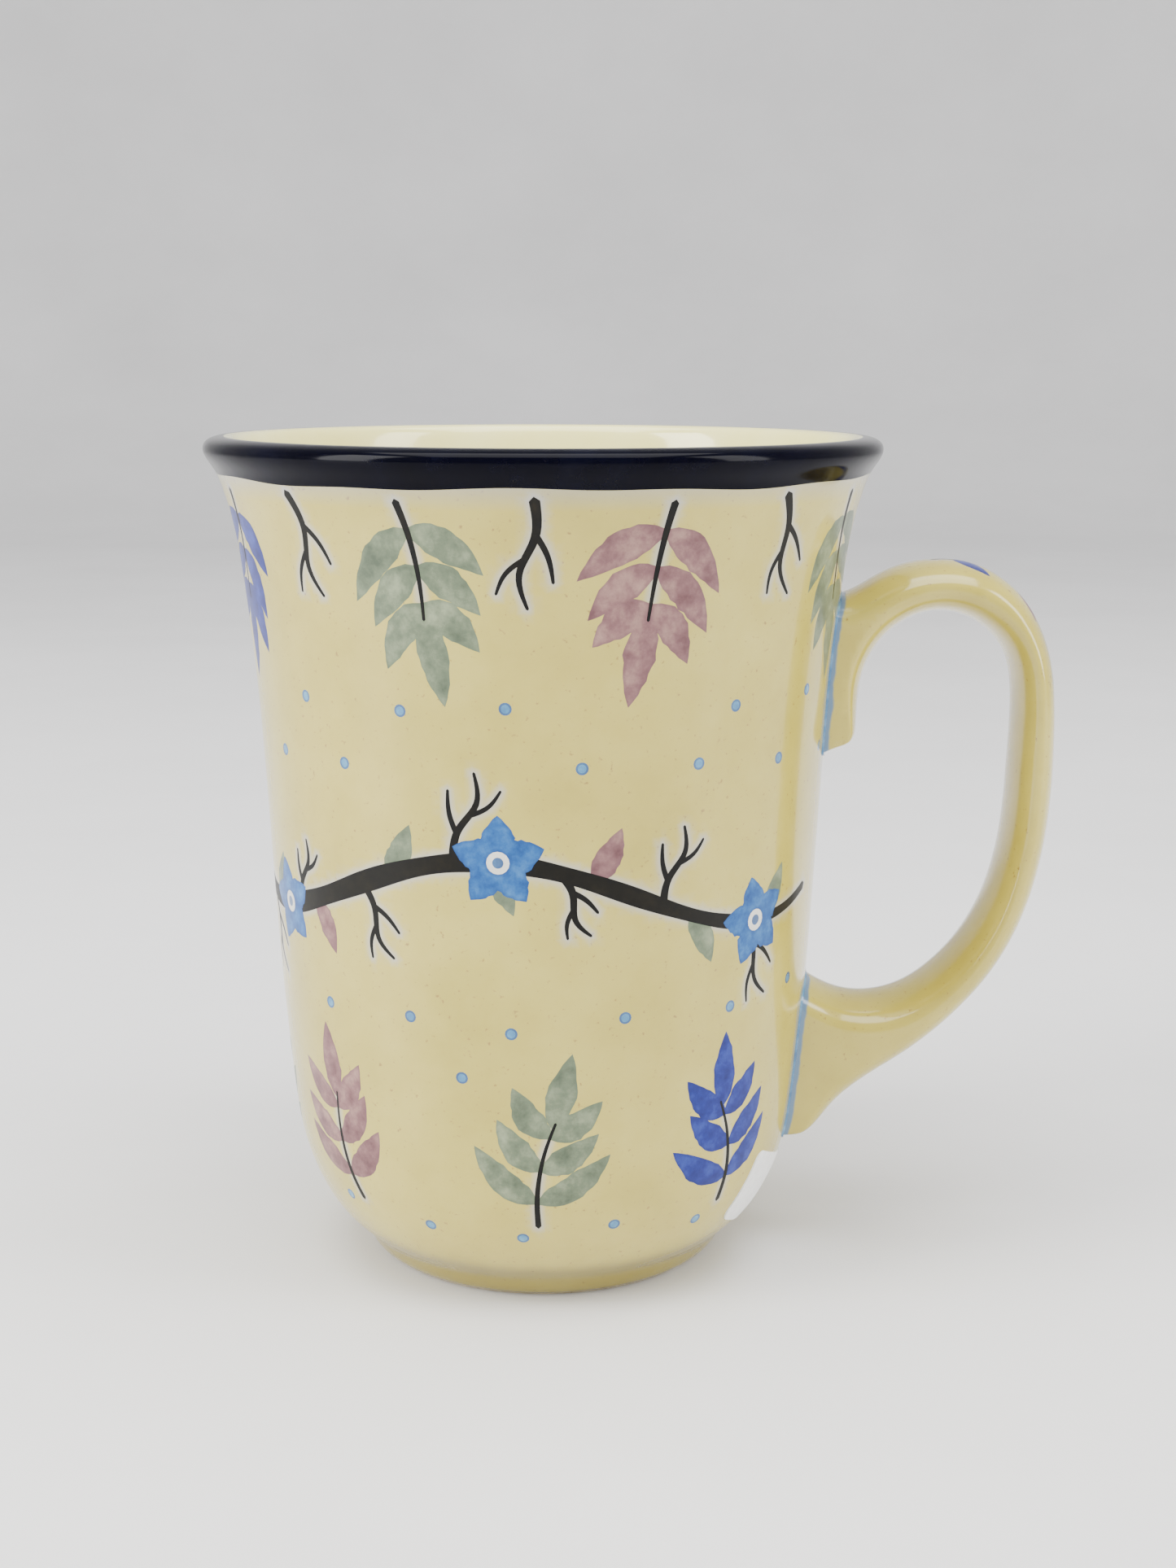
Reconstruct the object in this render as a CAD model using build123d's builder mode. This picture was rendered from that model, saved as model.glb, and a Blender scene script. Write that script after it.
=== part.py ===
from build123d import *
import math
import os

# Wheel-thrown stoneware mug with a pulled strap handle.
# Millimetres. +Z up, origin at the centre of the foot plane, handle towards +X.

# ---------------------------------------------------------------- driving dimensions
coat = 0.35            # thickness of the fired glaze coats
slip = 0.60            # thickness of the slip that joins handle to wall
bead = 0.45            # how far the slip squeezes out round each handle root
strap_half_y = 8.0     # half width of the handle strap at its middle
sticker_t = 0.20       # thickness of the paper sticker
sticker_w = 19.0       # sticker width
sticker_h = 11.3       # sticker height
sticker_r = 1.8        # sticker corner radius
foot_out_r = 24.8      # bare foot ring, outer radius
foot_in_r = 22.4       # bare foot ring, inner radius
recess_z = 2.5         # height of the recess inside the foot ring
floor_z = 6.0          # glazed floor inside the cup
crest = (45.26, 120.0)  # top of the lip: height of the mug
belly_start = (31.25, 7.10)
band_edge = (46.65, 115.40)  # lower edge of the rim band

floor_start_r = 12.0   # radius where the floor of the cup becomes flat

# Glazed outline, radius and height: from the foot edge up the outside, over the lip and
# down the inside to the floor.
foot_pts = [(25.30, 0.35), (25.95, 0.80), (26.55, 1.55), (27.00, 2.45), (27.42, 3.25),
            (28.20, 4.05), (29.55, 5.30), belly_start]
belly_pts = [belly_start, (34.20, 12.0), (36.25, 18.0), (37.45, 26.0), (38.70, 40.0),
             (39.68, 56.0), (40.55, 72.0), (41.65, 88.0), (42.95, 100.0), (44.22, 108.0),
             (45.62, 113.0), band_edge]
band_pts = [band_edge, (47.35, 116.45), (47.95, 117.45), (48.18, 118.30), (47.90, 119.15),
            (46.90, 119.78), crest]
bowl_pts = [crest, (44.35, 119.72), (43.70, 118.85), (43.20, 117.40), (42.60, 115.0),
            (41.30, 110.0), (39.75, 100.0), (38.25, 88.0), (36.95, 72.0), (35.95, 56.0),
            (34.95, 40.0), (33.60, 26.0), (32.00, 16.5), (29.70, 11.0), (26.20, 7.75),
            (21.0, 6.28), (16.5, 6.02), (floor_start_r, floor_z)]

# Strap outline in the plane of the handle, x and z, with the depth over which the
# strap's section rounds off. The outer line runs from the upper root over the top to
# the lower root, the inner one from the tip of the upper spur round the finger gap.
strap_outer = [
    (36.0, 97.30, 3.0), (40.0, 97.25, 3.2), (43.30, 97.55, 3.5), (45.30, 98.40, 3.7), (47.80, 99.90, 3.8),
    (50.60, 101.25, 3.7), (54.50, 102.20, 3.6), (58.60, 102.35, 3.6), (62.50, 101.60, 3.6),
    (66.00, 99.80, 3.5), (69.00, 97.10, 3.3), (71.20, 93.80, 3.1), (72.75, 90.10, 2.95),
    (73.65, 86.25, 2.9), (74.10, 82.25, 2.9), (74.28, 78.20, 2.95), (74.30, 74.05, 3.0),
    (74.22, 69.90, 3.05), (73.95, 65.80, 3.05), (73.50, 61.70, 3.0), (72.80, 57.70, 3.0),
    (71.85, 53.80, 3.0), (70.60, 50.05, 3.0), (69.05, 46.45, 3.05), (67.15, 43.00, 3.1),
    (64.95, 39.80, 3.2), (62.40, 36.75, 3.4), (59.65, 33.90, 3.6), (56.65, 31.20, 3.9),
    (53.40, 28.70, 4.1), (50.00, 26.45, 4.1), (46.60, 24.10, 3.9), (43.50, 21.40, 3.3),
    (40.90, 18.45, 2.4), (38.90, 17.05, 1.8), (36.0, 16.60, 1.6), (31.0, 16.40, 1.6)]
strap_inner = [
    (35.0, 71.60, 1.2), (38.5, 73.30, 1.2), (41.20, 74.90, 1.2), (42.90, 75.55, 1.2), (44.25, 76.20, 1.2),
    (45.05, 77.35, 1.3), (45.35, 79.20, 1.7), (45.50, 81.80, 2.2), (45.92, 85.20, 2.8),
    (47.10, 88.55, 3.3), (49.10, 91.45, 3.6), (51.90, 93.70, 3.6), (55.05, 94.98, 3.55),
    (58.40, 95.10, 3.6), (61.60, 94.10, 3.55), (64.40, 92.20, 3.3), (66.50, 89.70, 3.1),
    (67.72, 86.70, 2.95), (68.22, 83.30, 2.9), (68.33, 79.80, 2.95), (68.25, 76.20, 3.0),
    (68.10, 72.70, 3.05), (67.95, 69.20, 3.05), (67.75, 65.70, 3.05), (67.40, 62.30, 3.05),
    (66.88, 59.00, 3.0), (66.10, 55.70, 3.0), (65.05, 52.45, 3.0), (63.62, 49.30, 3.05),
    (61.78, 46.25, 3.1), (59.52, 43.45, 3.2), (56.90, 41.00, 3.4), (53.95, 39.05, 3.8),
    (50.70, 37.85, 4.1), (47.30, 37.45, 4.1), (43.80, 38.00, 4.0), (40.30, 39.60, 3.8),
    (36.0, 42.40, 3.4)]
strap_levels = [0.0, 0.25, 0.47, 0.66, 0.81, 0.92, 0.985]   # fractions of the half width


# ---------------------------------------------------------------- outline helpers
def run(edge, start, end, count, distance=0.0):
    """Points along part of an outline, shifted to the left of its direction."""
    u0 = edge.param_at_point(Vector(start[0], start[1], 0.0))
    u1 = edge.param_at_point(Vector(end[0], end[1], 0.0))
    pts = []
    for i in range(count + 1):
        u = u0 + (u1 - u0) * i / count
        p = edge @ u
        t = edge % u
        n = math.hypot(t.X, t.Y)
        pts.append((p.X - t.Y / n * distance, p.Y + t.X / n * distance))
    return pts


def point_normals(pts):
    """Left-hand unit normals at the points of an open outline."""
    out = []
    last = len(pts) - 1
    for i, p in enumerate(pts):
        a = pts[max(i - 1, 0)]
        b = pts[min(i + 1, last)]
        d0 = (p[0] - a[0], p[1] - a[1])
        d1 = (b[0] - p[0], b[1] - p[1])
        h0 = math.hypot(*d0)
        h1 = math.hypot(*d1)
        if h0 == 0:
            t = d1
        elif h1 == 0:
            t = d0
        else:
            t = (h1 * d0[0] / h0 + h0 * d1[0] / h1, h1 * d0[1] / h0 + h0 * d1[1] / h1)
        n = math.hypot(*t)
        out.append((-t[1] / n, t[0] / n))
    return out


# ---------------------------------------------------------------- body outlines
outline = Spline(*(foot_pts + belly_pts[1:] + band_pts[1:] + bowl_pts[1:]))
floor_start = (floor_start_r, floor_z)

foot_run = run(outline, foot_pts[0], belly_start, 28)
belly_run = run(outline, belly_start, band_edge, 44)
band_run = run(outline, band_edge, crest, 24)
bowl_run = run(outline, crest, floor_start, 68)

foot_clay = run(outline, foot_pts[0], belly_start, 28, coat)
belly_clay = run(outline, belly_start, band_edge, 44, coat)
band_clay = run(outline, band_edge, crest, 24, coat)
bowl_clay = run(outline, crest, floor_start, 68, coat)

belly_slip = run(outline, belly_start, band_edge, 44, coat - slip)
belly_sticker = run(outline, belly_start, band_edge, 44, -sticker_t)
foot_sticker = run(outline, foot_pts[0], belly_start, 28, -sticker_t)


def core(*runs):
    """Solid of revolution filled to the axis from outline runs."""
    with BuildPart() as body:
        with BuildSketch(Plane.XZ):
            with BuildLine():
                for run in runs:
                    Spline(*run)
                lo = runs[0][0]
                hi = runs[-1][-1]
                Polyline(hi, (0.0, hi[1]), (0.0, lo[1]), lo)
            make_face()
        revolve(axis=Axis.Z)
    return body.part


core_clay = core(belly_clay)
core_slip = core(belly_slip)
core_sticker = core(foot_sticker, belly_sticker)
core_glazed = core(foot_run, belly_run)


def strap(grow):
    """Handle strap with its skin moved outwards by grow."""
    half_y = strap_half_y + grow
    n_out = point_normals([p[:2] for p in strap_outer])
    n_in = point_normals([p[:2] for p in strap_inner])
    reach = 3.0 * grow    # a smaller strap starts deeper inside the wall
    with BuildPart() as body:
        fractions = [-f for f in reversed(strap_levels[1:])] + strap_levels
        for f in fractions:
            sink = 1.0 - math.sqrt(1.0 - f * f)
            outer = []
            for (x, z, a), n in zip(strap_outer, n_out):
                d = grow - sink * (a + grow)
                outer.append((x + n[0] * d, z + n[1] * d))
            inner = []
            for (x, z, a), n in zip(strap_inner, n_in):
                d = grow - sink * (a + grow)
                inner.append((x - n[0] * d, z - n[1] * d))
            outer[0] = (outer[0][0] + reach, outer[0][1])
            outer[-1] = (outer[-1][0] + reach, outer[-1][1])
            inner[0] = (inner[0][0] + reach, inner[0][1])
            inner[-1] = (inner[-1][0] + reach, inner[-1][1])
            with BuildSketch(Plane.XZ.offset(-f * half_y)):
                with BuildLine():
                    Spline(*outer)
                    Line(outer[-1], inner[-1])
                    Spline(*reversed(inner))
                    Line(inner[0], outer[0])
                make_face()
        loft()
    return body.part


strap_glazed = strap(0.0)
strap_clay = strap(-coat)
strap_bead = strap(bead)

# ---------------------------------------------------------------- clay body
with BuildPart() as clay_body:
    with BuildSketch(Plane.XZ):
        with BuildLine():
            Spline(*foot_clay)
            Spline(*belly_clay)
            Spline(*band_clay)
            Spline(*bowl_clay)
            Polyline(bowl_clay[-1], (0.0, bowl_clay[-1][1]), (0.0, recess_z), (20.4, recess_z))
            ThreePointArc((20.4, recess_z), (21.25, recess_z - 0.35), (21.6, recess_z - 1.2))
            Line((21.6, recess_z - 1.2), (21.6, 0.8))
            ThreePointArc((21.6, 0.8), (21.83, 0.23), (foot_in_r, 0.0))
            Line((foot_in_r, 0.0), (foot_out_r, 0.0))
            Line((foot_out_r, 0.0), foot_clay[0])
        make_face()
    revolve(axis=Axis.Z)

# ---------------------------------------------------------------- clay handle
with BuildPart() as clay_handle:
    add(strap_clay)
    add(core_slip, mode=Mode.SUBTRACT)

# ---------------------------------------------------------------- slip joints
with BuildPart() as joints:
    add(strap_bead)
    add(core_slip, mode=Mode.INTERSECT)
    add(core_clay, mode=Mode.SUBTRACT)
pads = joints.part.solids().sort_by(Axis.Z)

with BuildPart() as upper_slip_joint:
    add(pads[-1])

with BuildPart() as lower_slip_joint:
    add(pads[0])

# ---------------------------------------------------------------- outer glaze
with BuildPart() as outer_glaze:
    with BuildSketch(Plane.XZ):
        with BuildLine():
            Spline(*foot_run)
            Spline(*belly_run)
            Line(belly_run[-1], belly_clay[-1])
            Spline(*belly_clay)
            Spline(*foot_clay)
            Line(foot_clay[0], foot_run[0])
        make_face()
    revolve(axis=Axis.Z)
    add(strap_bead, mode=Mode.SUBTRACT)

# ---------------------------------------------------------------- rim band
with BuildPart() as rim_band:
    with BuildSketch(Plane.XZ):
        with BuildLine():
            Spline(*band_run)
            Line(band_run[-1], band_clay[-1])
            Spline(*band_clay)
            Line(band_clay[0], band_run[0])
        make_face()
    revolve(axis=Axis.Z)

# ---------------------------------------------------------------- inner glaze
with BuildPart() as inner_glaze:
    with BuildSketch(Plane.XZ):
        with BuildLine():
            Spline(*bowl_run)
            Polyline(bowl_run[-1], (0.0, bowl_run[-1][1]), (0.0, bowl_clay[-1][1]), bowl_clay[-1])
            Spline(*bowl_clay)
            Line(bowl_clay[0], bowl_run[0])
        make_face()
    revolve(axis=Axis.Z)

# ---------------------------------------------------------------- handle glaze
with BuildPart() as handle_glaze:
    add(strap_glazed)
    add(strap_clay, mode=Mode.SUBTRACT)
    add(core_slip, mode=Mode.SUBTRACT)

# ---------------------------------------------------------------- paper sticker
sticker_az = math.radians(-20.5)     # bearing of the sticker's centre from +X
sticker_turn = math.radians(-19.0)   # how far it is turned on the wall
sticker_slope = math.radians(31.0)   # how far the wall leans there
sticker_at = (33.7, 11.3)            # radius and height of its centre
out_dir = Vector(math.cos(sticker_az) * math.cos(sticker_slope),
                 math.sin(sticker_az) * math.cos(sticker_slope), -math.sin(sticker_slope))
side_dir = Vector(-math.sin(sticker_az), math.cos(sticker_az), 0.0)
rise_dir = out_dir.cross(side_dir)
x_dir = side_dir * math.cos(sticker_turn) + rise_dir * math.sin(sticker_turn)
sticker_plane = Plane(origin=(sticker_at[0] * math.cos(sticker_az),
                              sticker_at[0] * math.sin(sticker_az), sticker_at[1]),
                      x_dir=x_dir, z_dir=out_dir)
with BuildPart() as base_sticker:
    with BuildSketch(sticker_plane):
        RectangleRounded(sticker_w, sticker_h, sticker_r)
    extrude(amount=8.0, both=True)
    add(core_sticker, mode=Mode.INTERSECT)
    add(core_glazed, mode=Mode.SUBTRACT)

# ---------------------------------------------------------------- export
os.makedirs("parts", exist_ok=True)
clay_body.part.label = "clay_body"
export_step(clay_body.part, "parts/clay_body.step")
clay_handle.part.label = "clay_handle"
export_step(clay_handle.part, "parts/clay_handle.step")
upper_slip_joint.part.label = "upper_slip_joint"
export_step(upper_slip_joint.part, "parts/upper_slip_joint.step")
lower_slip_joint.part.label = "lower_slip_joint"
export_step(lower_slip_joint.part, "parts/lower_slip_joint.step")
outer_glaze.part.label = "outer_glaze"
export_step(outer_glaze.part, "parts/outer_glaze.step")
rim_band.part.label = "rim_band"
export_step(rim_band.part, "parts/rim_band.step")
inner_glaze.part.label = "inner_glaze"
export_step(inner_glaze.part, "parts/inner_glaze.step")
handle_glaze.part.label = "handle_glaze"
export_step(handle_glaze.part, "parts/handle_glaze.step")
base_sticker.part.label = "base_sticker"
export_step(base_sticker.part, "parts/base_sticker.step")
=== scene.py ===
import bpy, math, random
import numpy as np
from mathutils import Vector, Matrix
from mathutils.geometry import delaunay_2d_cdt
from mathutils.kdtree import KDTree


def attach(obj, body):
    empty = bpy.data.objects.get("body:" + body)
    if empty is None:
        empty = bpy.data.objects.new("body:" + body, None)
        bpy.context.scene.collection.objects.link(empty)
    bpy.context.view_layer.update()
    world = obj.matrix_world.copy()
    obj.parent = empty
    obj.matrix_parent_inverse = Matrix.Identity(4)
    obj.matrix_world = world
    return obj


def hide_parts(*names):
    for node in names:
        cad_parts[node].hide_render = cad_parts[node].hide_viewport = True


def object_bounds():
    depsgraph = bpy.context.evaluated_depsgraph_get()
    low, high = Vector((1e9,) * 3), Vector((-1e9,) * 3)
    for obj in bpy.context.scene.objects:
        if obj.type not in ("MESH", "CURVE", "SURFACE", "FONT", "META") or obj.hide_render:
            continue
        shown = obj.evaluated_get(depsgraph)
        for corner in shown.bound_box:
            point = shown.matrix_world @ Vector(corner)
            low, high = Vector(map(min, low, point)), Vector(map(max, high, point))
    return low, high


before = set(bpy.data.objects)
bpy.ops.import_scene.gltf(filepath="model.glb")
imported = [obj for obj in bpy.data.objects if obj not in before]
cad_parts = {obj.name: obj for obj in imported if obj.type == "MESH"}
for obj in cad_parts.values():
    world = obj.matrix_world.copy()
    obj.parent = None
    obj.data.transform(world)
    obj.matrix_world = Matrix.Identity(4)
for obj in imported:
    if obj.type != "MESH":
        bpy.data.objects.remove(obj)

CAD_BOX = [list(v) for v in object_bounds()]
MM = 0.001
RNG = random.Random(4117)
scene = bpy.context.scene

# ------------------------------------------------------------------ outlines (mm)
FOOT = [(25.30, .35), (25.95, .80), (26.55, 1.55), (27.00, 2.45), (27.42, 3.25), (28.20, 4.05), (29.55, 5.30)]
BELLY = [(31.25, 7.10), (34.20, 12), (36.25, 18), (37.45, 26), (38.70, 40), (39.68, 56), (40.55, 72), (41.65, 88), (42.95, 100), (44.22, 108), (45.62, 113)]
BAND = [(46.65, 115.40), (47.35, 116.45), (47.95, 117.45), (48.18, 118.30), (47.90, 119.15), (46.90, 119.78)]
BOWL = [(45.26, 120), (44.35, 119.72), (43.70, 118.85), (43.20, 117.40), (42.60, 115), (41.30, 110), (39.75, 100), (38.25, 88), (36.95, 72), (35.95, 56), (34.95, 40), (33.60, 26), (32.00, 16.5), (29.70, 11), (26.20, 7.75), (21, 6.28), (16.5, 6.02), (12, 6)]
STRAP_OUT = [(36, 97.30, 3.0), (40, 97.25, 3.2), (43.30, 97.55, 3.5), (45.30, 98.40, 3.7), (47.80, 99.90, 3.8), (50.60, 101.25, 3.7), (54.50, 102.20, 3.6), (58.60, 102.35, 3.6), (62.50, 101.60, 3.6), (66, 99.80, 3.5), (69, 97.10, 3.3), (71.20, 93.80, 3.1), (72.75, 90.10, 2.95), (73.65, 86.25, 2.9), (74.10, 82.25, 2.9), (74.28, 78.20, 2.95), (74.30, 74.05, 3.0), (74.22, 69.90, 3.05), (73.95, 65.80, 3.05), (73.50, 61.70, 3.0), (72.80, 57.70, 3.0), (71.85, 53.80, 3.0), (70.60, 50.05, 3.0), (69.05, 46.45, 3.05), (67.15, 43, 3.1), (64.95, 39.80, 3.2), (62.40, 36.75, 3.4), (59.65, 33.90, 3.6), (56.65, 31.20, 3.9), (53.40, 28.70, 4.1), (50, 26.45, 4.1), (46.60, 24.10, 3.9), (43.50, 21.40, 3.3), (40.90, 18.45, 2.4), (38.90, 17.05, 1.8), (36, 16.60, 1.6), (31, 16.40, 1.6)]
STRAP_IN = [(35, 71.60, 1.2), (38.5, 73.30, 1.2), (41.20, 74.90, 1.2), (42.90, 75.55, 1.2), (44.25, 76.20, 1.2), (45.05, 77.35, 1.3), (45.35, 79.20, 1.7), (45.50, 81.80, 2.2), (45.92, 85.20, 2.8), (47.10, 88.55, 3.3), (49.10, 91.45, 3.6), (51.90, 93.70, 3.6), (55.05, 94.98, 3.55), (58.40, 95.10, 3.6), (61.60, 94.10, 3.55), (64.40, 92.20, 3.3), (66.50, 89.70, 3.1), (67.72, 86.70, 2.95), (68.22, 83.30, 2.9), (68.33, 79.80, 2.95), (68.25, 76.20, 3.0), (68.10, 72.70, 3.05), (67.95, 69.20, 3.05), (67.75, 65.70, 3.05), (67.40, 62.30, 3.05), (66.88, 59, 3.0), (66.10, 55.70, 3.0), (65.05, 52.45, 3.0), (63.62, 49.30, 3.05), (61.78, 46.25, 3.1), (59.52, 43.45, 3.2), (56.90, 41, 3.4), (53.95, 39.05, 3.8), (50.70, 37.85, 4.1), (47.30, 37.45, 4.1), (43.80, 38, 4.0), (40.30, 39.60, 3.8), (36, 42.40, 3.4)]
HALF_Y = 8.0
COAT = .35
TOP_FIT = min(CAD_BOX[1][1], -CAD_BOX[0][1]) / MM - .002


def natural(points, n):
    """n samples per span of the natural cubic through the points, by chord length"""
    p = np.array(points, float)
    h = np.linalg.norm(np.diff(p[:, :2], axis=0), axis=1)
    t = np.concatenate([[0], np.cumsum(h)])
    m = len(p)
    A = np.eye(m); b = np.zeros((m, p.shape[1]))
    for i in range(1, m - 1):
        A[i, i - 1], A[i, i], A[i, i + 1] = h[i - 1], 2 * (h[i - 1] + h[i]), h[i]
        b[i] = 6 * ((p[i + 1] - p[i]) / h[i] - (p[i] - p[i - 1]) / h[i - 1])
    M = np.linalg.solve(A, b)
    out, key = [], []
    for i in range(m - 1):
        for k in range(n):
            x = k / n * h[i]; y = h[i] - x
            out.append(M[i] * y ** 3 / (6 * h[i]) + M[i + 1] * x ** 3 / (6 * h[i]) + (p[i] / h[i] - M[i] * h[i] / 6) * y + (p[i + 1] / h[i] - M[i + 1] * h[i] / 6) * x)
            key.append(i + k / n)
    out.append(p[-1]); key.append(m - 1)
    return np.array(out), np.array(key)


def arclen(p):
    return np.concatenate([[0], np.cumsum(np.linalg.norm(np.diff(p[:, :2], axis=0), axis=1))])


LINE, LKEY = natural(FOOT + BELLY + BAND + BOWL, 24)
# the lip's widest turn is drawn in by the facet depth of the frame's own mesh
wide = LINE[:, 0] > 47.0
rmax = LINE[:, 0].max()
if rmax > TOP_FIT:
    LINE[wide, 0] = 47.0 + (LINE[wide, 0] - 47.0) * (TOP_FIT - 47.0) / (rmax - 47.0)
i_band = len(FOOT + BELLY) * 24
i_crest = i_band + len(BAND) * 24
WALL = LINE[:i_band + 1]; WV = arclen(WALL); VMAX = WV[-1]
tan = np.gradient(LINE, axis=0); tan /= np.linalg.norm(tan, axis=1)[:, None]
LN = np.stack([tan[:, 1], -tan[:, 0]], 1)


def v_at(z): return float(np.interp(z, WALL[:, 1], WV))
def r_at(v): return float(np.interp(v, WV, WALL[:, 0]))
def r_wall(z): return np.interp(z, WALL[:, 1], WALL[:, 0])


# ------------------------------------------------------------------ decoration: plain sprigs, a wavy twig, blossoms and dots, laid out by rule
K = 40.0                       # mm of chart per radian
XW = 2 * math.pi * K
shapes = []                    # (paint, [(x, v)...], inner guide points)
PRI = {"navy": 9, "white": 6, "black": 5, "dotdark": 8, "dot": 7, "sky": 5.5, "cobalt": 3, "mauve": 2, "sage": 1}


def place(az, z, pts):
    v0 = v_at(z); r = r_at(v0); x0 = math.radians(az) * K
    return [(x0 + px / r * K, v0 + py) for px, py in pts]


def leaf(paint, az, z, ang, length, width, bend=0.0):
    n = 13; up, dn, mid = [], [], []
    a = math.radians(ang); ca, sa = math.cos(a), math.sin(a)
    wob = [RNG.uniform(-.09, .09) for _ in range(2 * n)]
    for i in range(n + 1):
        t = i / n
        h = width / 2 * math.sin(math.pi * t ** .78) ** .85 if 0 < t < 1 else 0
        c = bend * length * 4 * t * (1 - t)
        up.append((t * length, c + h * (1 + wob[i % len(wob)]))); dn.append((t * length, c - h * (1 + wob[(i + n) % len(wob)]))); mid.append((t * length, c))
    ring = [up[0]] + dn[1:-1] + [up[-1]] + up[1:-1][::-1]
    turn = lambda q: [(x * ca - y * sa, x * sa + y * ca) for x, y in q]
    inner = [(x, c + s * .5 * (y - c)) for (x, y), (_, c) in zip(up[2:-2], mid[2:-2]) for s in (1, -1)]
    shapes.append((paint, place(az, z, turn(ring)), place(az, z, turn(inner + mid[1:-1]))))


def stroke(paint, pts):
    """pts (x, v, width) already on the chart, smooth and open"""
    p, _ = natural(pts, 6)
    p = np.array(p); d = np.gradient(p[:, :2], axis=0); d /= np.linalg.norm(d, axis=1)[:, None] + 1e-9
    n = np.stack([-d[:, 1], d[:, 0]], 1); w = np.clip(p[:, 2], .22, 9)[:, None] / 2
    a, b = p[:, :2] - n * w, p[:, :2] + n * w
    tip = [tuple(p[-1, :2] + d[-1] * w[-1])]; tail = [tuple(p[0, :2] - d[0] * w[0])]
    shapes.append((paint, tail + [tuple(q) for q in a] + tip + [tuple(q) for q in b[::-1]], []))


def local_stroke(paint, az, z, pts):
    q = place(az, z, [(x, y) for x, y, _ in pts])
    stroke(paint, [(x, v, p[2]) for (x, v), p in zip(q, pts)])


def disc(paint, az, z, rad, n=16, squash=1.0):
    shapes.append((paint, place(az, z, [(rad * math.cos(2 * math.pi * i / n), rad * squash * math.sin(2 * math.pi * i / n)) for i in range(n)]), []))


def sprig(paint, az, z, ang, length, pairs, size):
    """a fine stem with pairs of pointed leaves and one at the tip"""
    a = math.radians(ang); sway = RNG.uniform(-.08, .08)
    at = lambda t: (t * length * math.cos(a) - sway * length * 4 * t * (1 - t) * math.sin(a), t * length * math.sin(a) + sway * length * 4 * t * (1 - t) * math.cos(a))
    local_stroke("black", az, z, [(*at(t), .95 - .55 * t) for t in (0, .25, .5, .75, 1)])
    v0 = v_at(z); r = r_at(v0)
    for i in range(pairs):
        t = .22 + .62 * i / max(pairs - 1, 1); x, y = at(t)
        for s in (1, -1):
            leaf(paint, az + math.degrees(x / r), z + y, ang + s * (52 - 8 * t) + RNG.uniform(-5, 5), size * (1.02 - .28 * t) * RNG.uniform(.92, 1.08), size * .33, s * .07)
    x, y = at(.93)
    leaf(paint, az + math.degrees(x / r), z + y, ang + RNG.uniform(-6, 6), size * .95, size * .34, 0)


def fork(az, z, ang, length):
    a = math.radians(ang); ca, sa = math.cos(a), math.sin(a)
    T = lambda q: [(x * ca - y * sa, x * sa + y * ca, w) for x, y, w in q]
    L = length
    local_stroke("black", az, z, T([(0, 0, 1.25), (.35 * L, .06 * L, 1.0), (.7 * L, -.03 * L, .8), (L, .10 * L, .4)]))
    local_stroke("black", az, z, T([(.30 * L, .05 * L, .8), (.48 * L, .20 * L, .7), (.72 * L, .30 * L, .4)]))
    local_stroke("black", az, z, T([(.55 * L, .0, .7), (.72 * L, -.16 * L, .6), (.92 * L, -.22 * L, .35)]))


LEAFS = ["cobalt", "sage", "mauve", "sage"]
# hanging sprigs under the lip, forks between them
for k in range(8):
    az = 22.5 + 45 * k
    sprig(LEAFS[k % 4], az, 113.2, -90 + (9 if k % 2 else -9), 15.5, 3, 13.0)
for k in range(1, 8):
    fork(45 * k, 113.6, -90 + (10 if k % 2 else -10), 14)
# a wavy twig round the belly, open at the handle
def twig_z(az): return 61 + 5.5 * math.sin(math.radians(3 * az) + .5)
A0, A1 = 22, 338
tw = []
for i in range(46):
    az = A0 + (A1 - A0) * i / 45; v = v_at(twig_z(az))
    tw.append((math.radians(az) * K, v, 1.1 + 1.9 * math.sin(math.pi * i / 45) ** .6 + .25 * math.sin(i * 1.7)))
stroke("black", tw)
for k in range(15):
    az = 32 + 20.2 * k; up = 1 if k % 2 else -1
    slope = 70 * up
    fork(az, twig_z(az), slope, 9.5 + 1.5 * (k % 3))
    leaf("sage" if k % 3 else "mauve", az + 6, twig_z(az + 6), -up * 62, 8.2, 3.5, .05 * up)
for k in range(6):
    az = 42 + 55.2 * k; zc = twig_z(az)
    for j in range(5):
        leaf("sky", az, zc, 90 + 72 * j + 12 * (k % 2), 6.4, 4.6, 0)
    disc("white", az, zc, 1.55); disc("dotdark", az, zc, .75)
# rising sprigs low on the wall
for k in range(1, 8):
    sprig(LEAFS[(k + 1) % 4], 45 * k, 14.5, 90 + (8 if k % 2 else -8), 16, 3, 11.8)

# dots in staggered rows, left out where they would touch a leaf or a twig
taken = KDTree(sum(len(s[1]) for s in shapes)); c = 0
for _, ring, _ in shapes:
    for x, v in ring:
        taken.insert((x, v, 0), c); c += 1
taken.balance()
for row, z in enumerate((86, 78, 44, 36, 13)):
    for k in range(15):
        az = 18 + 22.5 * k + (11.25 if row % 2 else 0) + RNG.uniform(-2, 2); zz = z + RNG.uniform(-1.2, 1.2)
        if az > 343: continue
        x, v = place(az, zz, [(0, 0)])[0]
        if taken.find((x, v, 0))[2] > 2.6:
            disc("dotdark", az, zz, .86, 14); shapes.append(("dot", place(az, zz, [(.58 * math.cos(2 * math.pi * i / 12), .58 * math.sin(2 * math.pi * i / 12)) for i in range(12)]), []))
PRI["dot"] = 9
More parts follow.
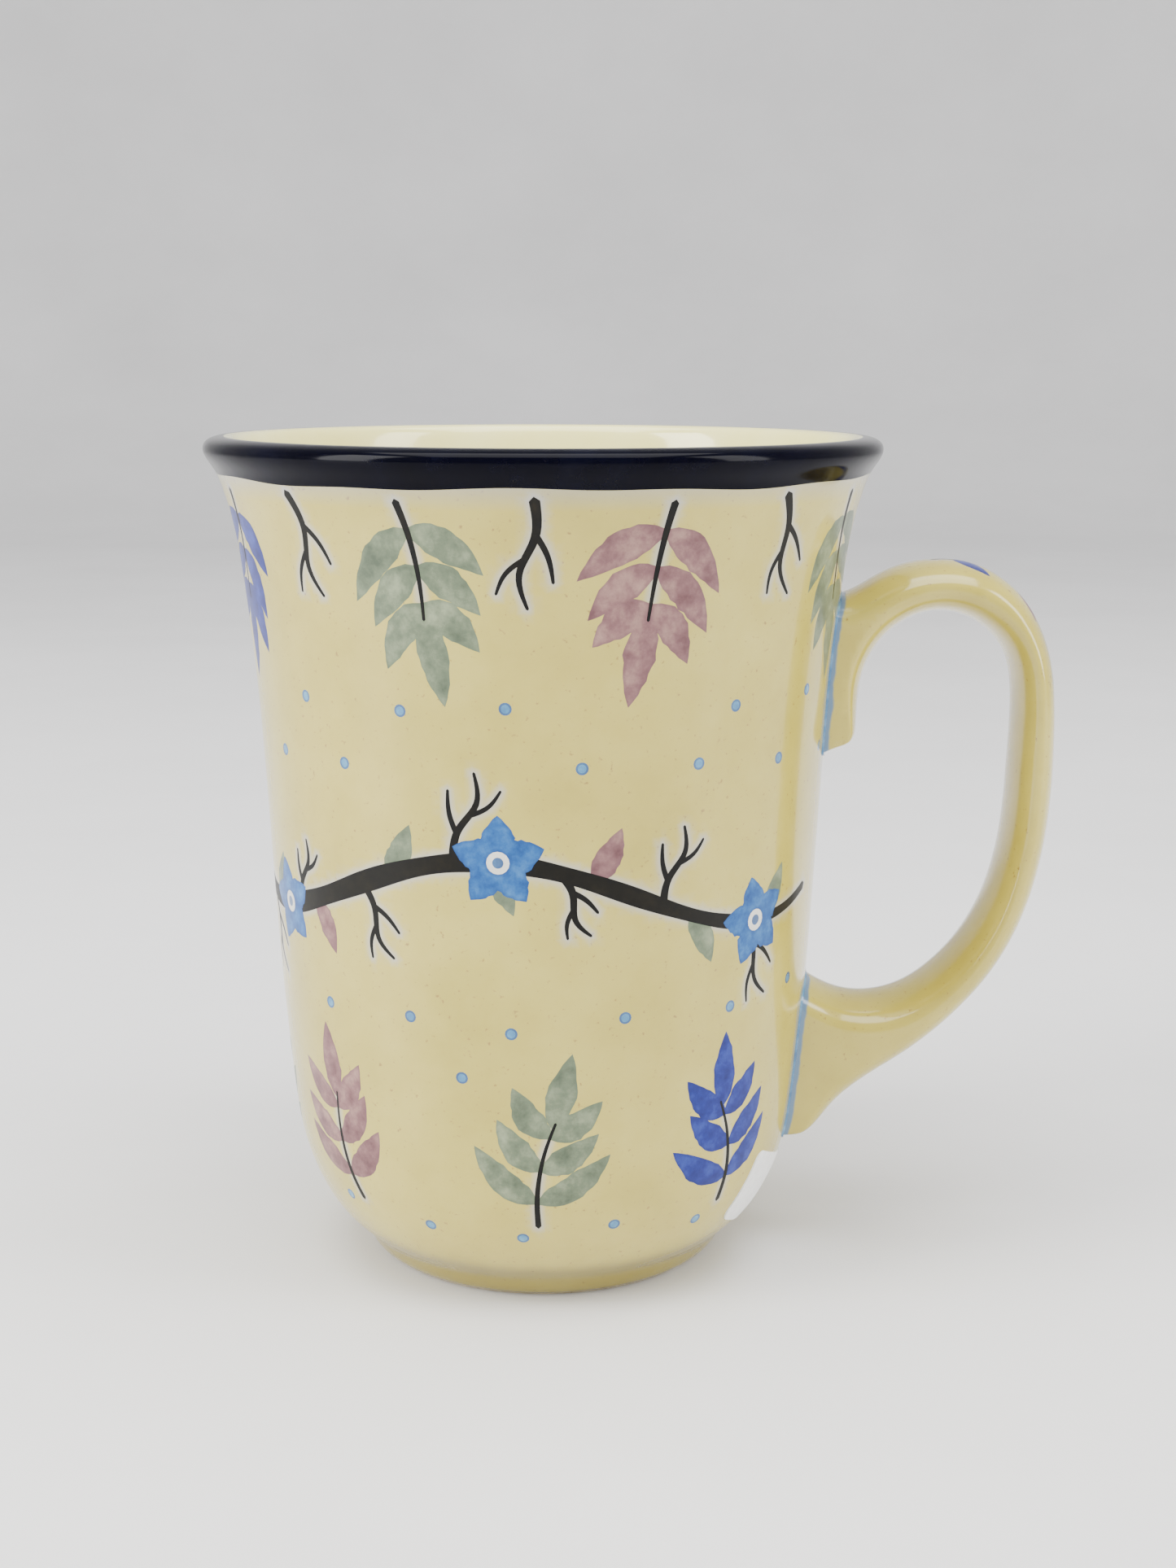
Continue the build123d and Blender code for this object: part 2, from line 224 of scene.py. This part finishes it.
# blue wash laid down both sides of each handle joint
PRI["joint"] = 8
for za, zb in ((71.6, 98.8), (15.8, 43.9)):
    for sgn in (1, -1):
        pts = []
        for i in range(15):
            t = i / 14; z = za + (zb - za) * t
            y = 8.62 - 1.5 * max(0, 1 - t / .08) - 1.5 * max(0, (t - .92) / .08)
            w_ = .95 + .22 * math.sin(9 * t + za) + .12 * math.sin(23 * t)
            a_ = math.asin(y / float(r_wall(z)))
            pts.append(((a_ if sgn > 0 else 2 * math.pi - a_) * K, v_at(z), w_ * (.55 if i in (0, 14) else 1)))
        stroke("joint", pts)
# the navy band's hand-laid lower edge
edge = [(XW * i / 180, VMAX - .55 - .22 * math.sin(5 * 2 * math.pi * i / 180) - .14 * math.sin(13 * 2 * math.pi * i / 180 + 1)) for i in range(181)]
shapes.append(("navy", edge + [(XW, VMAX), (0, VMAX)], []))


# ------------------------------------------------------------------ materials
def lin(rgb):
    return tuple((c / 255 / 12.92 if c <= 10 else ((c / 255 + .055) / 1.055) ** 2.4) for c in rgb) + (1,)


def material(name, dark, mid, light, scale=160, rough=.16, coat=.6, bump=.18, speck=None, edge_to=None, halo=None, topfade=None, spec=.5, joint=None, pool_and_shade=None):
    m = bpy.data.materials.new(name); m.use_nodes = True
    N, L = m.node_tree.nodes, m.node_tree.links
    b = N["Principled BSDF"]
    b.inputs["Roughness"].default_value = rough
    b.inputs["Coat Weight"].default_value = coat
    b.inputs["Coat Roughness"].default_value = .05
    b.inputs["Specular IOR Level"].default_value = spec
    tc = N.new("ShaderNodeTexCoord")
    n1 = N.new("ShaderNodeTexNoise"); n1.inputs["Scale"].default_value = scale; n1.inputs["Detail"].default_value = 6; n1.inputs["Roughness"].default_value = .62
    L.new(tc.outputs["Object"], n1.inputs["Vector"])
    r = N.new("ShaderNodeValToRGB"); e = r.color_ramp.elements
    e[0].position, e[0].color = .30, lin(dark); e[1].position, e[1].color = .72, lin(light)
    k = e.new(.5); k.color = lin(mid)
    L.new(n1.outputs["Fac"], r.inputs["Fac"])
    col = r.outputs["Color"]

    def mix(fac, to):
        nonlocal col
        x = N.new("ShaderNodeMix"); x.data_type = "RGBA"
        L.new(fac, x.inputs["Factor"]); L.new(col, x.inputs[6]); x.inputs[7].default_value = lin(to); col = x.outputs[2]

    def ramped(sock, p0, p1, top):
        q = N.new("ShaderNodeMapRange"); q.inputs["From Min"].default_value = p0; q.inputs["From Max"].default_value = p1
        q.inputs["To Min"].default_value = 0; q.inputs["To Max"].default_value = top; L.new(sock, q.inputs["Value"]); return q.outputs["Result"]

    def attr(a):
        x = N.new("ShaderNodeAttribute"); x.attribute_name = a; return x.outputs["Fac"]
    if speck:
        n2 = N.new("ShaderNodeTexNoise"); n2.inputs["Scale"].default_value = 1500; n2.inputs["Detail"].default_value = 2
        L.new(tc.outputs["Object"], n2.inputs["Vector"]); mix(ramped(n2.outputs["Fac"], .66, .76, .7), speck)
    if topfade: mix(ramped(attr("below_band"), 3.4, .3, .42), topfade)
    # darkens towards the foot: glaze pooled in the crease, and painted shade over the foot band below it
    if pool_and_shade: mix(ramped(attr("pool_and_shade"), .0, 1.0, .6), pool_and_shade)
    if joint:
        nj = N.new("ShaderNodeTexNoise"); nj.inputs["Scale"].default_value = 260; nj.inputs["Detail"].default_value = 2
        L.new(tc.outputs["Object"], nj.inputs["Vector"])
        wob = N.new("ShaderNodeMath"); wob.operation = "MULTIPLY_ADD"; L.new(nj.outputs["Fac"], wob.inputs[0]); wob.inputs[1].default_value = .9
        L.new(attr("wall_gap"), wob.inputs[2]); mix(ramped(wob.outputs[0], 1.42, 1.12, .85), joint)
    if halo: mix(ramped(attr("halo"), .0, 1.0, .55), halo)
    if edge_to: mix(ramped(attr("edge"), .55, .0, .6), edge_to)
    L.new(col, b.inputs["Base Color"])
    n3 = N.new("ShaderNodeTexNoise"); n3.inputs["Scale"].default_value = 420; n3.inputs["Detail"].default_value = 3
    L.new(tc.outputs["Object"], n3.inputs["Vector"])
    bp = N.new("ShaderNodeBump"); bp.inputs["Strength"].default_value = bump; bp.inputs["Distance"].default_value = .00012
    L.new(n3.outputs["Fac"], bp.inputs["Height"]); L.new(bp.outputs["Normal"], b.inputs["Normal"])
    return m


MAT = {
    # the cream's darker foot colour is partly glaze pooled in the crease, partly painted shade on the foot band
    "cream": material("cream_glaze_paint", (182, 166, 66), (191, 175, 76), (199, 184, 88), joint=(58, 112, 160), pool_and_shade=(108, 94, 46), scale=70, rough=.2, coat=.5, speck=(140, 104, 50), halo=(170, 176, 196), topfade=(140, 150, 178)),
    "black": material("paint_line", (8, 7, 3), (14, 12, 5), (26, 22, 10), scale=300, rough=.4, coat=.06, edge_to=(6, 6, 10), spec=.15),
    "cobalt": material("paint_cobalt", (10, 20, 92), (22, 38, 124), (50, 70, 158), scale=340, rough=.3, coat=.12, edge_to=(18, 30, 104), spec=.2),
    "sage": material("paint_sage", (76, 88, 70), (106, 118, 94), (144, 154, 124), scale=300, rough=.3, coat=.12, edge_to=(100, 114, 90), spec=.2),
    "mauve": material("paint_mauve", (96, 62, 66), (130, 94, 94), (168, 134, 122), scale=300, rough=.3, coat=.12, edge_to=(116, 80, 86), spec=.2),
    "sky": material("paint_sky", (18, 66, 128), (36, 92, 154), (68, 124, 178), scale=480, rough=.3, coat=.12, edge_to=(22, 62, 124), spec=.2),
    "white": material("paint_white", (212, 210, 196), (222, 220, 208), (232, 230, 220), scale=300),
    "dot": material("paint_dot", (40, 106, 152), (60, 128, 170), (94, 156, 188), scale=600),
    "dotdark": material("paint_dot_ring", (20, 66, 116), (30, 82, 132), (48, 104, 152), scale=600),
    "navy": material("navy_band_paint", (1, 1, 8), (2, 2, 13), (5, 6, 22), scale=120, rough=.12, coat=.02, bump=.06, spec=.06),
    "inner": material("inner_glaze_pale", (240, 232, 150), (244, 237, 162), (248, 242, 176), scale=60, rough=.16),
    "slip": material("joint_blue", (52, 104, 146), (78, 132, 170), (120, 164, 190), scale=500, rough=.2),
    "clay": material("bare_stoneware", (176, 160, 128), (196, 181, 148), (212, 199, 168), scale=700, rough=.75, coat=0.0, bump=.7, speck=(120, 92, 60), spec=.3),
    "paper": material("label_paper", (232, 232, 230), (240, 240, 238), (246, 246, 244), scale=900, rough=.6, coat=.0, bump=.3, spec=.3),
}
MAT["joint"] = material("joint_wash", (40, 94, 146), (62, 120, 166), (104, 154, 188), scale=420, edge_to=(34, 84, 136))
PAINTS = ["cream", "sage", "mauve", "cobalt", "sky", "black", "white", "dot", "dotdark", "navy", "joint"]


def build(name, verts, faces, mats, face_mat, normals, attrs=None):
    me = bpy.data.meshes.new(name)
    me.from_pydata([tuple(v * MM) for v in verts], [], [tuple(int(i) for i in f) for f in faces])
    for m in mats: me.materials.append(m)
    me.polygons.foreach_set("material_index", np.array(face_mat, np.int32))
    me.polygons.foreach_set("use_smooth", np.ones(len(faces), bool))
    for key, val in (attrs or {}).items():
        at = me.attributes.new(key, "FLOAT", "POINT"); at.data.foreach_set("value", np.array(val, np.float32))
    me.update()
    if normals is not None:
        me.normals_split_custom_set_from_vertices([tuple(n) for n in normals])
    ob = bpy.data.objects.new(name, me); scene.collection.objects.link(ob)
    return ob


def inlay(x_lines, y_lines, period_x, parts):
    """triangles of the chart with every painted outline cut in; returns points, triangles and the topmost paint of each"""
    pts = [(x, y) for x in x_lines for y in y_lines]
    x0, x1, y0, y1 = x_lines[0], x_lines[-1], y_lines[0], y_lines[-1]
    faces, names = [], []
    dark = []
    for paint, ring, inner in parts:
        ring = [q for i, q in enumerate(ring) if math.dist(q, ring[i - 1]) > .012]
        area = sum(ring[i - 1][0] * q[1] - q[0] * ring[i - 1][1] for i, q in enumerate(ring))
        if area < 0: ring = ring[::-1]
        base = len(pts); pts += ring; faces.append(list(range(base, base + len(ring)))); names.append(paint)
        pts += list(inner)
        if paint == "black":
            dark += ring
            for i, q in enumerate(ring):
                a, b = ring[i - 1], ring[(i + 1) % len(ring)]
                h = math.dist(a, b)
                if h > 1e-6 and i % 2 == 0:
                    nx, ny = (b[1] - a[1]) / h, -(b[0] - a[0]) / h
                    for o in (.35, .85):
                        e = (q[0] + nx * o, q[1] + ny * o)
                        if x0 + .3 < e[0] < x1 - .3 and y0 + .3 < e[1] < y1 - .3: pts.append(e)
    vo, _, fo, _, _, of = delaunay_2d_cdt([Vector(q) for q in pts], [], faces, 0, 1e-5, True)
    P = np.array([tuple(v) for v in vo])
    top = []
    for src in of:
        best, bp = "cream", 0
        for s in src:
            if PRI[names[s]] > bp: best, bp = names[s], PRI[names[s]]
        top.append(PAINTS.index(best))
    return P, [tuple(f) for f in fo], top, dark


def distances(P, tris, top, dark):
    """halo: 1 at a dark line, 0 a millimetre off; edge: mm to the nearest change of paint"""
    halo = np.zeros(len(P)); edge = np.full(len(P), 2.0)
    if dark:
        kd = KDTree(len(dark))
        for i, q in enumerate(dark): kd.insert((q[0], q[1], 0), i)
        kd.balance()
        for i, q in enumerate(P): halo[i] = max(0, 1 - kd.find((q[0], q[1], 0))[2] / 1.0)
    seen = {}
    rim = set()
    for f, t in zip(tris, top):
        for i in range(3):
            key = (min(f[i], f[i - 1]), max(f[i], f[i - 1]))
            if key in seen and seen[key] != t: rim.update(key)
            seen[key] = t
    rim = sorted(rim)
    if rim:
        kd = KDTree(len(rim))
        for j, i in enumerate(rim): kd.insert((P[i][0], P[i][1], 0), j)
        kd.balance()
        for i, q in enumerate(P): edge[i] = min(2.0, kd.find((q[0], q[1], 0))[2])
    return halo, edge


def weld(V, faces, *per_vertex):
    key = np.round(V, 4); _, first, inv = np.unique(key, axis=0, return_index=True, return_inverse=True)
    inv = inv.reshape(-1)
    keep, kept = [], []
    for i, f in enumerate(faces):
        g = [int(inv[j]) for j in f]; g = [g[j] for j in range(len(g)) if g[j] != g[j - 1]]
        if len(set(g)) >= 3: keep.append(tuple(g)); kept.append(i)
    used = np.unique(np.array([j for f in keep for j in f])); new = np.full(len(first), -1); new[used] = np.arange(len(used))
    keep = [tuple(int(new[j]) for j in f) for f in keep]
    return V[first][used], keep, kept, [np.asarray(a)[first][used] for a in per_vertex]


# ------------------------------------------------------------------ outer wall
NC = 216
cols = [XW * i / NC for i in range(NC + 1)]
rows = sorted(set([round(x, 5) for x in np.concatenate([np.linspace(0, 9.5, 28), np.linspace(9.5, VMAX - 6, 78)[1:], np.linspace(VMAX - 6, VMAX, 11)[1:]])]))
rows[-1] = VMAX
P, T, top, dark = inlay(cols, rows, XW, shapes)
halo, edgev = distances(P, T, top, dark)
az = P[:, 0] / K
az = np.where(np.abs(az - 2 * math.pi) < 1e-6, 0, az)
rr = np.interp(P[:, 1], WV, WALL[:, 0]); zz = np.interp(P[:, 1], WV, WALL[:, 1])
nr = np.interp(P[:, 1], WV, LN[:i_band + 1, 0]); nz = np.interp(P[:, 1], WV, LN[:i_band + 1, 1])
V = np.stack([rr * np.cos(az), rr * np.sin(az), zz], 1); NV = np.stack([nr * np.cos(az), nr * np.sin(az), nz], 1)
below = VMAX - P[:, 1]
# the coat's inner side, same columns, fewer rows, joined along the foot and under the band
irows = np.linspace(0, VMAX, 42)
base = len(V); iv, inn = [], []
for j, v in enumerate(irows):
    r0, z0 = np.interp(v, WV, WALL[:, 0]), np.interp(v, WV, WALL[:, 1]); a, b = np.interp(v, WV, LN[:i_band + 1, 0]), np.interp(v, WV, LN[:i_band + 1, 1])
    h = math.hypot(a, b); a, b = a / h, b / h
    for i in range(NC):
        t = 2 * math.pi * i / NC
        iv.append(((r0 - a * COAT) * math.cos(t), (r0 - a * COAT) * math.sin(t), z0 - b * COAT)); inn.append((-a * math.cos(t), -a * math.sin(t), -b))
F = list(T); fm = list(top)
for j in range(len(irows) - 1):
    for i in range(NC):
        p, q = base + j * NC + i, base + j * NC + (i + 1) % NC
        F.append((p, p + NC, q + NC, q)); fm.append(0)
ov = {}
for v, j in ((0.0, 0), (VMAX, len(irows) - 1)):
    for i in range(NC):
        t = 2 * math.pi * i / NC; r0, z0 = np.interp(v, WV, WALL[:, 0]), np.interp(v, WV, WALL[:, 1])
        ov[(j, i)] = len(V) + len(iv) + len(ov)
ext = []
for v, j in ((0.0, 0), (VMAX, len(irows) - 1)):
    r0, z0 = np.interp(v, WV, WALL[:, 0]), np.interp(v, WV, WALL[:, 1])
    for i in range(NC):
        t = 2 * math.pi * i / NC; ext.append((r0 * math.cos(t), r0 * math.sin(t), z0))
for j in (0, len(irows) - 1):
    for i in range(NC):
        a, b = ov[(j, i)], ov[(j, (i + 1) % NC)]; p, q = base + j * NC + i, base + j * NC + (i + 1) % NC
        F.append((a, p, q, b) if j == 0 else (a, b, q, p)); fm.append(0 if j == 0 else PAINTS.index("navy"))
V = np.concatenate([V, np.array(iv), np.array(ext)]); NV = np.concatenate([NV, np.array(inn), np.array([(x / 30, y / 30, 0) for x, y, _ in ext])])
pad = len(V) - len(below)
below = np.concatenate([below, np.full(pad, 9.0)]); halo = np.concatenate([halo, np.zeros(pad)]); edgev = np.concatenate([edgev, np.full(pad, 2.0)])
V, F, kept, (NV, below, halo, edgev) = weld(V, F, NV, below, halo, edgev)
# darker towards the foot: glaze pooled in the crease above the foot (the bump), and painted shade over the whole foot
# band below z 4.9
pool_and_shade = np.maximum(np.exp(-((V[:, 2] - 4.9) / 1.7) ** 2), np.where(V[:, 2] < 4.9, .92, 0))
fm = [fm[i] for i in kept]
NV = NV / (np.linalg.norm(NV, axis=1)[:, None] + 1e-9)
outer = build("outer_glaze_painted", V, F, [MAT[p] for p in PAINTS], fm, NV, {"below_band": below, "halo": halo, "edge": edgev, "pool_and_shade": pool_and_shade, "wall_gap": np.full(len(V), 9.0)})
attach(outer, "root"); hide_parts("outer_glaze")


# ------------------------------------------------------------------ turned coats
def turned(name, prof, nrm, thick, mat, columns, axis_close=False):
    n = len(prof); Vv, Ff, Nn = [], [], []
    ring = np.concatenate([prof, (prof - nrm * thick)[::-1]]); rn = np.concatenate([nrm, -nrm[::-1]])
    m = len(ring)
    for i in range(columns):
        t = 2 * math.pi * i / columns
        for (r, z), (a, b) in zip(ring, rn):
            Vv.append((r * math.cos(t), r * math.sin(t), z)); Nn.append((a * math.cos(t), a * math.sin(t), b))
    for i in range(columns):
        j = (i + 1) % columns
        for k in range(m - (1 if axis_close else 0)):
            l = (k + 1) % m
            if axis_close and k == n - 1: continue
            Ff.append((i * m + k, j * m + k, j * m + l, i * m + l))
    if axis_close:
        for k, nz_, flip in ((n - 1, 1, False), (n, -1, True)):
            c = len(Vv); Vv.append((0, 0, ring[k][1])); Nn.append((0, 0, nz_))
            for i in range(columns):
                j = (i + 1) % columns
                Ff.append((i * m + k, c, j * m + k) if flip else (i * m + k, j * m + k, c))
        for i in range(columns):
            j = (i + 1) % columns; Ff.append((i * m + m - 1, j * m + m - 1, j * m, i * m))
    return build(name, np.array(Vv), Ff, [mat], [0] * len(Ff), np.array(Nn))


band = turned("rim_band_glaze", LINE[i_band:i_crest + 1:3], LN[i_band:i_crest + 1:3], COAT, MAT["navy"], 288)
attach(band, "root"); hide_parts("rim_band")
bowl = turned("inner_glaze_coat", LINE[i_crest::6], LN[i_crest::6], COAT, MAT["inner"], 216, axis_close=True)
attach(bowl, "root"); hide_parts("inner_glaze")

# ------------------------------------------------------------------ handle
SO, ko = natural(STRAP_OUT, 14); SI, ki = natural(STRAP_IN, 14)
UO, UI = arclen(SO), arclen(SI)


def curve_normal(S):
    d = np.gradient(S[:, :2], axis=0); d /= np.linalg.norm(d, axis=1)[:, None]
    return np.stack([-d[:, 1], d[:, 0]], 1)       # left of travel


no, ni = curve_normal(SO), curve_normal(SI)
TH = math.radians(86)


def skin(S, U, nrm, side, u, q):
    """u mm along one edge of the strap, q 0..1 across its face; side -1 rounds inwards from the outer edge, +1 from the inner"""
    t = (q * 2 - 1) * TH
    c = [np.interp(u, U, S[:, i]) for i in range(3)]
    n = np.stack([np.interp(u, U, nrm[:, i]) for i in range(2)], 1); n /= np.linalg.norm(n, axis=1)[:, None]
    d = side * c[2] * (1 - np.cos(t))
    return np.stack([c[0] + n[:, 0] * d, HALF_Y * np.sin(t), c[1] + n[:, 1] * d], 1)


QS = 18.9                             # chart mm across the outer face
HL = UO[-1]
keep_shapes, shapes = shapes, []


def hleaf(paint, u, w, ang, length, width):
    n = 11; a = math.radians(ang); up, dn = [], []
    for i in range(n + 1):
        t = i / n; h = width / 2 * math.sin(math.pi * t ** .8) ** .85 if 0 < t < 1 else 0
        up.append((t * length, h)); dn.append((t * length, -h))
    ring = [up[0]] + dn[1:-1] + [up[-1]] + up[1:-1][::-1]
    shapes.append((paint, [(u + x * math.cos(a) - y * math.sin(a), w + x * math.sin(a) + y * math.cos(a)) for x, y in ring], []))


mid = .5 * QS
stroke("black", [(21, mid, .6), (27, mid + .6, 1.0), (34, mid - .5, 1.1), (41, mid + .5, 1.0), (48, mid, .5)])
for i in range(5):
    hleaf(["cobalt", "sage", "mauve", "cobalt", "sage"][i], 24 + 5 * i, mid, 38 if i % 2 else -38, 6.6, 2.8)
hleaf("cobalt", 48, mid, 0, 7, 3)
for i in range(5):
    cu = 61 + 12 * i
    for paint, rad in (("dotdark", .86), ("dot", .58)):
        shapes.append((paint, [(cu + rad * math.cos(2 * math.pi * j / 14), mid + rad * math.sin(2 * math.pi * j / 14)) for j in range(14)], []))
hq = [round(x * QS, 5) for x in np.linspace(0, 1, 29)]
hu = [round(x, 5) for x in np.linspace(0, HL, 190)]
hP, hT, htop, hdark = inlay(hu, hq, 0, shapes)
hh, he = distances(hP, hT, htop, hdark)
HV = skin(SO, UO, no, -1, hP[:, 0], hP[:, 1] / QS)
HF = list(hT)
# inner face, turned the other way round
NU, NQ = 200, 25
gu, gq = np.meshgrid(np.linspace(0, UI[-1], NU), np.linspace(0, 1, NQ), indexing="ij")
IV = skin(SI, UI, ni, 1, gu.ravel(), gq.ravel())
b0 = len(HV)
for i in range(NU - 1):
    for j in range(NQ - 1):
        p0 = b0 + i * NQ + j
        HF.append((p0, p0 + 1, p0 + NQ + 1, p0 + NQ)); htop.append(0)
# flat cheeks between the two rounded faces, and a cap over each buried end
eo = skin(SO, UO, no, -1, np.array(hu), np.ones(len(hu))); ei = IV.reshape(NU, NQ, 3)[:, -1]
b1 = b0 + len(IV)
loop = np.concatenate([eo, ei[::-1]])[:, [0, 2]]
turn_ = sum(loop[i - 1][0] * q[1] - q[0] * loop[i - 1][1] for i, q in enumerate(loop))
order = list(range(len(loop))) if turn_ > 0 else list(range(len(loop)))[::-1]
yw = HALF_Y * math.sin(TH)
fill = [(x + .31, z + .17) for x in np.arange(35, 75, .9) for z in np.arange(16, 103, .9)]
for gap_ in (-1.0, .0, .35, .7, 1.05, 1.6):
    fill += [(math.sqrt((float(r_wall(z)) + gap_) ** 2 - yw ** 2), z) for z in np.arange(16.5, 102, .6)]
cv, _, cf, _, _, co_ = delaunay_2d_cdt([Vector(q) for q in loop] + [Vector(q) for q in fill], [], [order], 0, 1e-6, True)
cf = [t for t, src in zip(cf, co_) if len(src)]
yc = HALF_Y * math.sin(TH); CV = []
for sgn in (1, -1):
    off = b1 + len(CV); CV += [(v.x, sgn * yc, v.y) for v in cv]
    for tri in cf:
        a_, b_, c_ = [cv[k] for k in tri]; ccw = (b_.x - a_.x) * (c_.y - a_.y) - (b_.y - a_.y) * (c_.x - a_.x) > 0
        t3 = tuple(off + k for k in tri); HF.append(t3 if ccw != (sgn > 0) else t3[::-1]); htop.append(0)
b2 = b1 + len(CV)
caps = []
for at_o, at_i, flip in ((0.0, 0, False), (HL, NU - 1, True)):
    row = skin(SO, UO, no, -1, np.full(29, at_o), np.linspace(0, 1, 29))
    ring = list(row) + list(IV.reshape(NU, NQ, 3)[at_i][::-1]); off = b2 + len(caps); caps += ring
    ids = tuple(range(off, off + len(ring))); HF.append(ids[::-1] if flip else ids); htop.append(0)
extra = len(IV) + len(CV) + len(caps)
HV = np.concatenate([HV, IV, np.array(CV), np.array(caps)])
hh = np.concatenate([hh, np.zeros(extra)]); he = np.concatenate([he, np.full(extra, 2.0)])
# both roots end just under the wall's surface
rho = np.hypot(HV[:, 0], HV[:, 1]); lim = r_wall(HV[:, 2]) - 1.0
s = rho < lim
HV[s, 0] = np.sqrt(np.maximum(lim[s] ** 2 - HV[s, 1] ** 2, 1))
HV[:, 0] = np.minimum(HV[:, 0], CAD_BOX[1][0] / MM - .002)
HV, HF, hk, (hh, he) = weld(HV, HF, hh, he)
htop = [htop[i] for i in hk]
gap = np.hypot(HV[:, 0], HV[:, 1]) - r_wall(HV[:, 2])
handle = build("handle_glaze_painted", HV, HF, [MAT[p] for p in PAINTS], htop, None, {"below_band": np.full(len(HV), 9.0), "halo": hh, "edge": he, "pool_and_shade": np.zeros(len(HV)), "wall_gap": gap})
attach(handle, "root"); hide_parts("handle_glaze")

# ------------------------------------------------------------------ pieces carried over from the frame
for node, mat in (("clay_body", "clay"), ("clay_handle", "clay"), ("upper_slip_joint", "slip"), ("lower_slip_joint", "slip"), ("base_sticker", "paper")):
    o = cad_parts[node]; o.data.materials.clear(); o.data.materials.append(MAT[mat])

# ------------------------------------------------------------------ stage
# a round floor that sweeps up into a wall on every side
prof = [(.0005, 0.0)] + [(.1 * k, 0.0) for k in range(1, 14)] + [(1.3 + .6 * math.sin(t), .6 * (1 - math.cos(t))) for t in [math.pi / 2 * k / 16 for k in range(1, 17)]] + [(1.9, .6 + .2 * k) for k in range(1, 7)]
fv, ff, NF = [], [], 96
for r, z in prof: fv += [(r * math.cos(2 * math.pi * i / NF), r * math.sin(2 * math.pi * i / NF), z - .00004) for i in range(NF)]
for k in range(len(prof) - 1):
    for i in range(NF):
        j = (i + 1) % NF; ff.append((k * NF + i, (k + 1) * NF + i, (k + 1) * NF + j, k * NF + j))
ff.append(tuple(range(NF)))
me = bpy.data.meshes.new("floor"); me.from_pydata(fv, [], ff); me.update()
me.polygons.foreach_set("use_smooth", np.ones(len(ff), bool))
floor = bpy.data.objects.new("floor", me); scene.collection.objects.link(floor)
floor.data.materials.append(material("floor_pale", (228, 227, 226), (233, 232, 231), (238, 237, 236), scale=6, rough=.5, coat=0, bump=.0, spec=.3))


def area(name, loc, aim, sx, sy, power, colour=(1, 1, 1)):
    d = bpy.data.lights.new(name, "AREA"); d.shape = "RECTANGLE"; d.size, d.size_y = sx, sy; d.energy = power; d.color = colour
    o = bpy.data.objects.new(name, d); o.location = loc
    o.rotation_euler = (Vector(aim) - Vector(loc)).to_track_quat("-Z", "Y").to_euler(); scene.collection.objects.link(o)


area("soft_left", (-.75, -.35, .42), (0, 0, .06), .32, .8, 12)
area("soft_right", (.80, -.30, .45), (0, 0, .06), .28, .8, 7)
area("overhead", (0, -.15, 1.05), (0, 0, .05), 1.1, .9, 19)
w = bpy.data.worlds.new("soft_world"); scene.world = w; w.use_nodes = True
w.node_tree.nodes["Background"].inputs["Color"].default_value = (.93, .95, 1, 1)
w.node_tree.nodes["Background"].inputs["Strength"].default_value = .68

# ------------------------------------------------------------------ camera
p, yaw, rl = math.radians(11.134), math.radians(-.353), math.radians(.137)
fw = Vector((math.sin(yaw) * math.cos(p), math.cos(yaw) * math.cos(p), -math.sin(p)))
rt = Vector((math.cos(yaw), -math.sin(yaw), 0)); up = rt.cross(fw)
X = rt * math.cos(rl) + up * math.sin(rl); Y = up * math.cos(rl) - rt * math.sin(rl); Z = -fw
cam = bpy.data.cameras.new("camera"); cam.sensor_width = 36; cam.sensor_fit = "AUTO"; cam.lens = 50.54; cam.clip_start = .01; cam.dof.use_dof = False
co = bpy.data.objects.new("camera", cam)
co.matrix_world = Matrix(((X.x, Y.x, Z.x, .008361), (X.y, Y.y, Z.y, -.318342), (X.z, Y.z, Z.z, .131786), (0, 0, 0, 1)))
scene.collection.objects.link(co); scene.camera = co
